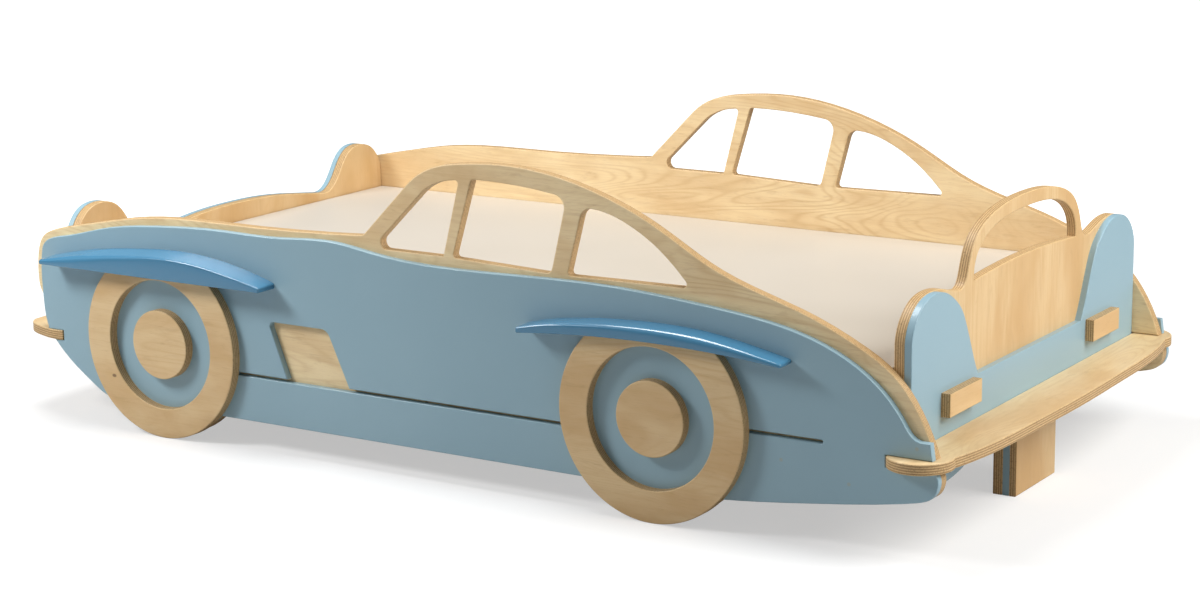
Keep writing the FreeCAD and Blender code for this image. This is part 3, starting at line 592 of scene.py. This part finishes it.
def birch_board(node, finish, axis, out, veneer, offset, rims=(ROUTED, ROUTED), first=0.0, **look):
    """A birch board. veneer is the way of the grain and the way across; first shifts the plies."""
    low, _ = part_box(node)
    wood = birch(finish, *veneer, axis, low[axis] + first, offset, **look)
    board(node, axis, out, wood, "birch_ply", *rims)


# %% Sides and skins
for side, sign in SIDES:
    birch_board(
        f"side_panel_{side}", f"birch_side_{side}", Y, sign, (X, Z), (3.1 * sign, 0.4 * sign),
        tone=0.0,
    )
    board(f"side_skin_{side}", Y, sign, skin_paint, "blue_paint", SHARP, PAINTED)

# %% Tyre rings and hub discs
stretch = 0.0
for side, sign in SIDES:
    for wheel in WHEELS:
        stretch += 1.7
        birch_board(
            f"tyre_ring_{wheel}_{side}", f"birch_ring_{wheel}_{side}", Y, sign, (X, Z),
            (stretch, stretch * 0.7), (SHARP, ROUTED), tone=0.42, clear=0.5,
        )
        birch_board(
            f"hub_disc_{wheel}_{side}", f"birch_hub_{wheel}_{side}", Y, sign, (X, Z),
            (stretch + 5, stretch * 1.3), (SHARP, ROUTED), tone=0.38, clear=0.5,
        )

# %% Walls, leg plates, bumpers and tail lamps
WALL_TONES = {"front": 0.6, "rear": 0.5}
for end, out in ENDS:
    birch_board(
        f"{end}_inner_panel", f"birch_wall_{end}", X, out, (Z, Y), (1.3, 2.2),
        tone=WALL_TONES[end], straight=end == "rear",
    )
    board(f"{end}_outer_panel", X, out, wall_paint, "blue_paint", SHARP, PAINTED)
    birch_board(
        f"{end}_leg_plate", f"birch_leg_{end}", X, out, (Z, Y), (4.3, 1.2), (SHARP, ROUTED),
        tone=0.55,
    )
    birch_board(
        f"{end}_bumper", f"birch_bumper_{end}", Z, 1, (Y, X), (2.3, 5.2), tone=0.2, clear=0.6
    )
for side, sign in SIDES:
    birch_board(
        f"tail_lamp_{side}", f"birch_lamp_{side}", X, 1, (Y, Z), (8.3 * sign, 1.2),
        (SHARP, LAMP), first=-0.001, tone=0.4, clear=0.9,
    )

# %% [markdown]
# ## Flares
#
# The flares over the wheels are solid wood, shaped and sprayed in a glossy darker blue. Below
# they are flat, and on top they slope outwards a little. Their outer edge is rounded, softly at
# the end that points away from the other wheel and crisply at the end towards it. Each flare is
# a loft of such sections along the bed, between the underside of its solid and a crown line,
# with softened ends.

# %% Sections of a flare
MM = 0.001
FLARE_STATIONS = 72
FLARE_END_ROUND, FLARE_END_STEPS = 0.0030, 6
# The rounds of a section never take more than these shares of its height.
FLARE_FOOT_ROUND, FLARE_FOOT_STEPS, FLARE_FOOT_SHARE = 0.0022, 4, 0.3
FLARE_BROW_STEPS, FLARE_BROW_SHARE = 8, 0.55
# A section that is lower than this slopes less in proportion.
FLARE_FULL = 0.036
# Share of the flare's length from its nose end, and drop of the crown below its highest point.
CROWNS = {
    "front": ((0, 36), (0.16, 19), (0.29, 10), (0.41, 4.5), (0.53, 0.5), (0.64, 1), (0.76, 7),
              (0.87, 18), (0.96, 30), (1, 37)),
    "rear": ((0, 27), (0.10, 15.5), (0.22, 7.5), (0.33, 2.5), (0.45, 0), (0.57, 0), (0.68, 3),
             (0.79, 10), (0.90, 20), (1, 30.5)),
}
# How far the top slopes down to its outer edge, and the round of that edge, at the nose end and
# at the tail end. The round changes at a quicker pace and is done before the tail end.
FLARE_SLOPES = {"front": (9.0, 6.0), "rear": (5.0, 7.0)}
FLARE_ROUNDS = {"front": (14.0, 3.0), "rear": (2.5, 11.0)}
ROUND_PACE = 1.6


def along_points(points, share):
    """The height of a smooth line through points, at a share of its length."""
    for number in range(len(points) - 1):
        (a, low), (b, high) = points[number], points[number + 1]
        if share <= b:
            break
    before = points[max(number - 1, 0)]
    after = points[min(number + 2, len(points) - 1)]
    rise_low = (high - before[1]) / (b - before[0]) * (b - a)
    rise_high = (after[1] - low) / (after[0] - a) * (b - a)
    t = (share - a) / (b - a)
    return (
        (2 * t ** 3 - 3 * t ** 2 + 1) * low + (t ** 3 - 2 * t ** 2 + t) * rise_low
        + (3 * t ** 2 - 2 * t ** 3) * high + (t ** 3 - t ** 2) * rise_high
    )


def round_corner(corner, towards, away, radius, steps):
    """Points of an arc that rounds a corner between two directions, seen from the corner."""
    one, two = Vector(towards).normalized(), Vector(away).normalized()
    half = one.angle(two) / 2
    reach = radius / math.tan(half)
    centre = Vector(corner) + (one + two).normalized() * (radius / math.sin(half))
    first = Vector(corner) + one * reach - centre
    last = Vector(corner) + two * reach - centre
    return [centre + first.slerp(last, step / steps) * radius for step in range(steps + 1)]


def flare_section(depth, low, high, slope, edge_round):
    """A section as (distance from the skin, height), from its inner foot round its edge."""
    edge = high - slope * min((high - low) / FLARE_FULL, 1)
    room = edge - low
    edge_round = min(edge_round, room * FLARE_BROW_SHARE)
    foot_round = min(FLARE_FOOT_ROUND, room * FLARE_FOOT_SHARE)
    foot = round_corner((depth, low), (-1, 0), (0, 1), foot_round, FLARE_FOOT_STEPS)
    top = (-depth, high - edge)
    brow = round_corner((depth, edge), (0, -1), top, edge_round, FLARE_BROW_STEPS)
    return [Vector((0, low))] + foot + brow + [Vector((0, high))]


def underside(loop, place):
    """The lowest height at which a loop of points crosses a place along the bed."""
    heights = []
    for (u0, v0), (u1, v1) in zip(loop, loop[1:] + loop[:1]):
        if min(v0, v1) <= place <= max(v0, v1) and v0 != v1:
            heights.append(u0 + (u1 - u0) * (place - v0) / (v1 - v0))
    return min(heights)


def flare_stations(start, end):
    """(place, inset) along a flare, which draws in by a quarter round at both ends."""
    rounded = quarter_round(FLARE_END_ROUND, FLARE_END_STEPS)
    inner = end - start - 2 * FLARE_END_ROUND
    stations = [(start + reach, inset) for reach, inset in rounded]
    for number in range(1, FLARE_STATIONS):
        stations.append((start + FLARE_END_ROUND + inner * number / FLARE_STATIONS, 0.0))
    stations += [(end - reach, inset) for reach, inset in reversed(rounded)]
    return stations


# %% Shape the flares
def flare(wheel, side, sign):
    """A shaped flare in place of its node."""
    node = f"wheel_arch_flare_{wheel}_{side}"
    low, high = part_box(node)
    skin = low.y if sign > 0 else high.y
    depth = high.y - low.y
    loop = outline_loops(node, Y, skin)[0]
    slope_nose, slope_tail = FLARE_SLOPES[wheel]
    round_nose, round_tail = FLARE_ROUNDS[wheel]
    work = bmesh.new()
    rings = []
    for place, inset in flare_stations(low.x, high.x):
        share = (place - low.x) / (high.x - low.x)
        foot = underside(loop, min(max(place, low.x + ON_FACE), high.x - ON_FACE))
        crown = high.z - along_points(CROWNS[wheel], share) * MM
        slope = (slope_nose + (slope_tail - slope_nose) * share) * MM
        edge_round = round_nose + (round_tail - round_nose) * min(share * ROUND_PACE, 1)
        middle, tall = (foot + crown) / 2, crown - foot
        ring = []
        for away, height in flare_section(depth, foot, crown, slope, edge_round * MM):
            away *= (depth - inset) / depth
            height = middle + (height - middle) * (tall - 2 * inset) / tall
            ring.append(work.verts.new((place, skin + sign * away, height)))
        rings.append(ring)
    count = len(rings[0])
    for before, after in zip(rings, rings[1:]):
        for number in range(count):
            on = (number + 1) % count
            work.faces.new((before[number], before[on], after[on], after[number]))
    for ring in (rings[0], rings[-1]):
        work.faces.new(ring)
    for face in work.faces:
        face.smooth = True
    bmesh.ops.recalc_face_normals(work, faces=work.faces)
    for ring in rings:
        for corner in (0, count - 1):
            for edge in ring[corner].link_edges:
                if edge.other_vert(ring[corner]) not in ring:
                    edge.smooth = False
    piece = mesh_in_scene(node + "_shaped", work)
    piece.data.materials.append(flare_paint)
    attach(piece, "bed_frame")
    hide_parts(node)


for side, sign in SIDES:
    for wheel in WHEELS:
        flare(wheel, side, sign)

# %% [markdown]
# ## Deck and what carries it
#
# The deck is one coated board that lies loose on planed rails and beams. The softwood comes into
# view as soon as the deck is lifted, so it has its grain and its eased edges too.

# %% Deck, rails, posts and beams
board("deck_board", Z, 1, deck_coating, "deck_laminate", COATED, COATED)
for side, sign in SIDES:
    board(f"side_rail_{side}", Y, -sign, rail_wood, "spruce", SHARP, PLANED)
for end, out in ENDS:
    board(f"{end}_rail", X, -out, cross_wood, "spruce", SHARP, PLANED)
    for side, sign in SIDES:
        board(f"corner_post_{end}_{side}", Z, -1, post_wood, "spruce", SHARP, PLANED)
for name in sorted(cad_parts):
    if name.startswith("deck_beam"):
        board(name, X, 1, cross_wood, "spruce", PLANED, PLANED)

# %% [markdown]
# ## Fasteners
#
# Every screw and bolt is the same drawing in another size: a head with a hexagonal recess, a
# shank and a point, which on a bolt is only its bevelled end. A node tree draws one from its
# sizes and sets a copy on each seat. The seats are read off the solids: where a head bears, and
# which way it points.

# %% Node trees for screws, bolts and inserts
HEXAGON, SHANK_SIDES, HEAD_SIDES = 6, 24, 32
# As shares of the head: its recess, the length of the tool that cuts it, and how deep the shank
# is rooted. Then the radius of the tip, as a share of the shank's.
RECESS, RECESS_TOOL, ROOT, TIP = 0.5, 1.2, 0.25, 0.25
# How far the tool for a bore reaches past each end, as a share of the sleeve's length.
BORE_PAST = 0.2
OVERLAP = 0.0001


class Tree:
    """A geometry node tree under construction, with named inputs for its sizes."""

    def __init__(self, name, sizes):
        self.tree = bpy.data.node_groups.new(name, "GeometryNodeTree")
        face = self.tree.interface
        face.new_socket("Geometry", in_out="INPUT", socket_type="NodeSocketGeometry")
        face.new_socket("Geometry", in_out="OUTPUT", socket_type="NodeSocketGeometry")
        for size in sizes:
            face.new_socket(size, in_out="INPUT", socket_type="NodeSocketFloat")
        face.new_socket("Material", in_out="INPUT", socket_type="NodeSocketMaterial")
        self.entry = self.tree.nodes.new("NodeGroupInput")

    def add(self, kind, values, settings=None):
        """Adds a node: settings first, then inputs; a list goes to one socket, link by link."""
        node = self.tree.nodes.new(kind)
        for key, setting in (settings or {}).items():
            setattr(node, key, setting)
        for key, value in values.items():
            socket = node.inputs[key]
            for one in value if isinstance(value, list) else [value]:
                if isinstance(one, bpy.types.NodeSocket):
                    self.tree.links.new(one, socket)
                else:
                    socket.default_value = one
        return node.outputs[0]

    def size(self, name):
        return self.entry.outputs[name]

    def times(self, value, factor):
        return self.add("ShaderNodeMath", {0: value, 1: factor}, {"operation": "MULTIPLY"})

    def plus(self, first, second):
        return self.add("ShaderNodeMath", {0: first, 1: second}, {"operation": "ADD"})

    def rod(self, radius, length, start, sides=SHANK_SIDES, top=None):
        """A cylinder or, with a top radius, a cone along Z, from start."""
        values = {"Vertices": sides, "Depth": length}
        if top is None:
            shape = self.add("GeometryNodeMeshCylinder", dict(values, Radius=radius))
            start = self.plus(start, self.times(length, 0.5))
        else:
            values.update({"Radius Bottom": radius, "Radius Top": top})
            shape = self.add("GeometryNodeMeshCone", values)
        shift = self.add("ShaderNodeCombineXYZ", {"Z": start})
        return self.add("GeometryNodeTransform", {"Geometry": shape, "Translation": shift})

    def cut(self, body, tool):
        solver = {"operation": "DIFFERENCE", "solver": "EXACT"}
        return self.add("GeometryNodeMeshBoolean", {"Mesh 1": body, "Mesh 2": tool}, solver)

    def weld(self, *bodies):
        solver = {"operation": "UNION", "solver": "EXACT"}
        return self.add("GeometryNodeMeshBoolean", {"Mesh 2": list(bodies)}, solver)

    def set_on_seats(self, shape):
        """A real copy of the shape on each point, turned to the point's aim."""
        vector = {"data_type": "FLOAT_VECTOR"}
        aim = self.add("GeometryNodeInputNamedAttribute", {"Name": "aim"}, vector)
        turn = self.add("FunctionNodeAlignRotationToVector", {"Vector": aim}, {"axis": "Z"})
        values = {"Points": self.size("Geometry"), "Instance": shape, "Rotation": turn}
        copies = self.add("GeometryNodeInstanceOnPoints", values)
        real = self.add("GeometryNodeRealizeInstances", {"Geometry": copies})
        values = {"Geometry": real, "Material": self.size("Material")}
        dressed = self.add("GeometryNodeSetMaterial", values)
        leave = self.tree.nodes.new("NodeGroupOutput")
        self.tree.links.new(dressed, leave.inputs["Geometry"])
        return self.tree


def screw_tree():
    """A head below the seat with a hexagonal recess, a shank above it and a point."""
    sizes = ["Head radius", "Head depth", "Shank radius", "Shank length", "Point"]
    t = Tree("turned_screw", sizes)
    head_radius, head_depth, shank_radius, shank_length, point_length = map(t.size, sizes)
    head = t.rod(head_radius, head_depth, t.times(head_depth, -1.0), HEAD_SIDES)
    below = t.times(head_depth, -(RECESS + RECESS_TOOL))
    tool_length = t.times(head_depth, RECESS_TOOL)
    recess = t.rod(t.times(head_radius, RECESS), tool_length, below, HEXAGON)
    root = t.times(head_depth, -ROOT)
    shank = t.rod(shank_radius, t.plus(shank_length, t.times(root, -1.0)), root)
    neck = t.plus(shank_length, -OVERLAP)
    point = t.rod(shank_radius, point_length, neck, top=t.times(shank_radius, TIP))
    return t.set_on_seats(t.weld(t.cut(head, recess), shank, point))


def insert_tree():
    """A threaded sleeve above the seat."""
    t = Tree("threaded_insert", ["Radius", "Bore", "Length"])
    length = t.size("Length")
    sleeve = t.rod(t.size("Radius"), length, 0.0, HEAD_SIDES)
    bore = t.rod(t.size("Bore"), t.times(length, 1 + 2 * BORE_PAST), t.times(length, -BORE_PAST))
    return t.set_on_seats(t.cut(sleeve, bore))


# %% Set the fasteners on their seats
WOOD_SCREW = {"Head radius": 0.004, "Head depth": 0.0025, "Shank radius": 0.002, "Point": 0.004}
BOLT = {"Head radius": 0.0055, "Head depth": 0.005, "Shank radius": 0.003, "Point": 0.0005}
INSERT = {"Radius": 0.0045, "Bore": 0.0031, "Length": 0.012}


def solids_of(node):
    """The points of each separate solid in a node."""
    work = solid_mesh(node)
    left = dict.fromkeys(work.verts)
    solids = []
    while left:
        reached = [left.popitem()[0]]
        for vertex in reached:
            for edge in vertex.link_edges:
                other = edge.other_vert(vertex)
                if other in left:
                    del left[other]
                    reached.append(other)
        solids.append([v.co.copy() for v in reached])
    work.free()
    return solids


def seats(node, head_depth):
    """Where each fastener's head bears, the way its shank goes in, and how far."""
    found = []
    for points in solids_of(node):
        low = Vector([min(p[axis] for p in points) for axis in (X, Y, Z)])
        high = Vector([max(p[axis] for p in points) for axis in (X, Y, Z)])
        spans = high - low
        middle = (low + high) / 2
        if head_depth:
            axis = max((X, Y, Z), key=lambda n: spans[n])
            across = [n for n in (X, Y, Z) if n != axis]
            widest = max(points, key=lambda p: sum((p[n] - middle[n]) ** 2 for n in across))
            way = 1 if widest[axis] < middle[axis] else -1
        else:
            axis = min((X, Y, Z), key=lambda n: abs(spans[n] - INSERT["Length"]))
            way = 1
        aim = Vector([way * (n == axis) for n in (X, Y, Z)])
        seat = middle - aim * (spans[axis] / 2 - head_depth)
        found.append((seat, aim, spans[axis] - head_depth))
    return found


def fasten(node, tree, sizes):
    """Puts a tree's fasteners on the seats of a node, as one plain mesh."""
    head_depth = sizes.get("Head depth", 0.0)
    places = seats(node, head_depth)
    mesh = bpy.data.meshes.new(node + "_seats")
    mesh.from_pydata([place for place, _, _ in places], [], [])
    aims = mesh.attributes.new("aim", "FLOAT_VECTOR", "POINT")
    aims.data.foreach_set("vector", [part for _, aim, _ in places for part in aim])
    piece = in_scene(node + "_turned", mesh)
    values = dict(sizes, Material=zinc_plate)
    if head_depth:
        values["Shank length"] = places[0][2] - sizes["Point"]
    modifier = piece.modifiers.new("fasteners", "NODES")
    modifier.node_group = tree
    for item in tree.interface.items_tree:
        if item.in_out == "INPUT" and item.name in values:
            modifier[item.identifier] = values[item.name]
    graph = bpy.context.evaluated_depsgraph_get()
    plain = bpy.data.meshes.new_from_object(piece.evaluated_get(graph))
    piece.modifiers.clear()
    piece.data = plain
    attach(piece, "bed_frame")
    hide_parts(node)


screws = screw_tree()
for name in ("rail_screws", "front_bumper_screws", "rear_bumper_screws"):
    fasten(name, screws, WOOD_SCREW)
fasten("corner_bolts", screws, BOLT)
fasten("bolt_inserts", insert_tree(), INSERT)

# %% [markdown]
# ## Floor, light and camera
#
# The bed stands in a white studio. A small light ahead and to the left shades the near side, a
# big one from behind and to the right lights the tail, and one overhead fills the box. The floor
# takes their shadows, and away from the bed it brightens until it can't be told from the white
# behind it.

# %% Floor and backdrop
FLOOR_HALF = 30.0
FLOOR_GREY = srgb(188, 188, 188)
# Distances from the middle of the floor between which it brightens, and its glow.
FLOOR_FADE = (1.2, 2.4)
GLOW_NEAR, GLOW_MORE = 0.5, 0.6
WORLD_LIGHT = 0.12
WHITE = (1, 1, 1, 1)


def studio_floor():
    """A grey floor that glows for the camera alone, so that its glow lights nothing."""
    mesh = bpy.data.meshes.new("floor")
    corners = [(-FLOOR_HALF, -FLOOR_HALF, 0), (FLOOR_HALF, -FLOOR_HALF, 0)]
    corners += [(FLOOR_HALF, FLOOR_HALF, 0), (-FLOOR_HALF, FLOOR_HALF, 0)]
    mesh.from_pydata(corners, [], [(0, 1, 2, 3)])
    f = Finish("studio_floor")
    x, y, _ = f.place()
    far = ((x * x + y * y) ** 0.5).step(*FLOOR_FADE)
    f.wear(Base_Color=FLOOR_GREY, Roughness=0.9, Specular_IOR_Level=0.1)
    seen = f.add("ShaderNodeLightPath", out="Is Camera Ray")
    glow = f.add("ShaderNodeEmission", values={"Strength": seen * (far * GLOW_MORE + GLOW_NEAR)})
    surface = Term(f, f.shader.outputs[0])
    f.put(f.output.inputs[0], f.add("ShaderNodeAddShader", values=[surface, glow]))
    mesh.materials.append(f.material)
    in_scene("floor", mesh)


def studio_world():
    """Faint even light for the bed, and pure white for the eye."""
    world = bpy.data.worlds.new("studio")
    bpy.context.scene.world = world
    world.use_nodes = True
    nodes, links = world.node_tree.nodes, world.node_tree.links
    nodes.clear()
    path = nodes.new("ShaderNodeLightPath")
    output = nodes.new("ShaderNodeOutputWorld")
    mix = nodes.new("ShaderNodeMixShader")
    links.new(path.outputs["Is Camera Ray"], mix.inputs[0])
    for place, strength in ((1, WORLD_LIGHT), (2, 1.0)):
        shade = nodes.new("ShaderNodeBackground")
        shade.inputs["Color"].default_value = WHITE
        shade.inputs["Strength"].default_value = strength
        links.new(shade.outputs[0], mix.inputs[place])
    links.new(mix.outputs[0], output.inputs[0])


studio_floor()
studio_world()

# %% Lights
WARM = (1.0, 0.985, 0.96)


def soft_light(name, place, target, size, watts, tint=(1.0, 1.0, 1.0)):
    """A round lamp at a place, turned to a target."""
    data = bpy.data.lights.new(name, "AREA")
    data.shape = "DISK"
    data.size = size
    data.energy = watts
    data.color = tint
    lamp = in_scene(name, data)
    lamp.location = place
    lamp.rotation_mode = "QUATERNION"
    lamp.rotation_quaternion = (Vector(target) - Vector(place)).to_track_quat("-Z", "Y")


soft_light("ahead_left", (-1.7, -1.75, 1.75), (-0.4, -0.4, 0.2), size=0.8, watts=38)
soft_light("behind_right", (2.8, 0.35, 2.1), (0.5, 0, 0.2), size=2.4, watts=97, tint=WARM)
soft_light("overhead", (-0.7, -0.3, 2.9), (-0.2, 0.2, 0.3), size=1.4, watts=58)

# %% [markdown]
# The camera stands where the photographer stood, a little above the roof line, with a long lens.
# Its place was found by matching corners of the bed with the same corners in the picture.

# %% Camera
FOCAL_PIXELS = 2551.3
IMAGE_WIDTH = 1200
IMAGE_HEIGHT = 594
SENSOR = 36.0
PRINCIPAL = (660.0, 284.0)
EYE = (2.5168, -3.8441, 1.2373)
AZIMUTH, ELEVATION, ROLL = (math.radians(a) for a in (31.554, 12.121, -0.534))
FARTHEST = 100

back = Vector((
    math.sin(AZIMUTH) * math.cos(ELEVATION),
    -math.cos(AZIMUTH) * math.cos(ELEVATION),
    math.sin(ELEVATION),
))
level = Vector((math.cos(AZIMUTH), math.sin(AZIMUTH), 0))
upright = back.cross(level)
right = level * math.cos(ROLL) + upright * math.sin(ROLL)
up = upright * math.cos(ROLL) - level * math.sin(ROLL)

lens = bpy.data.cameras.new("camera")
lens.sensor_width = SENSOR
lens.lens = FOCAL_PIXELS / IMAGE_WIDTH * SENSOR
lens.shift_x = (IMAGE_WIDTH / 2 - PRINCIPAL[0]) / IMAGE_WIDTH
lens.shift_y = (PRINCIPAL[1] - IMAGE_HEIGHT / 2) / IMAGE_WIDTH
lens.clip_end = FARTHEST
camera = in_scene("camera", lens)
camera.matrix_world = Matrix.Translation(EYE) @ Matrix((right, up, back)).transposed().to_4x4()
bpy.context.scene.camera = camera
bpy.context.scene.view_settings.view_transform = "Standard"
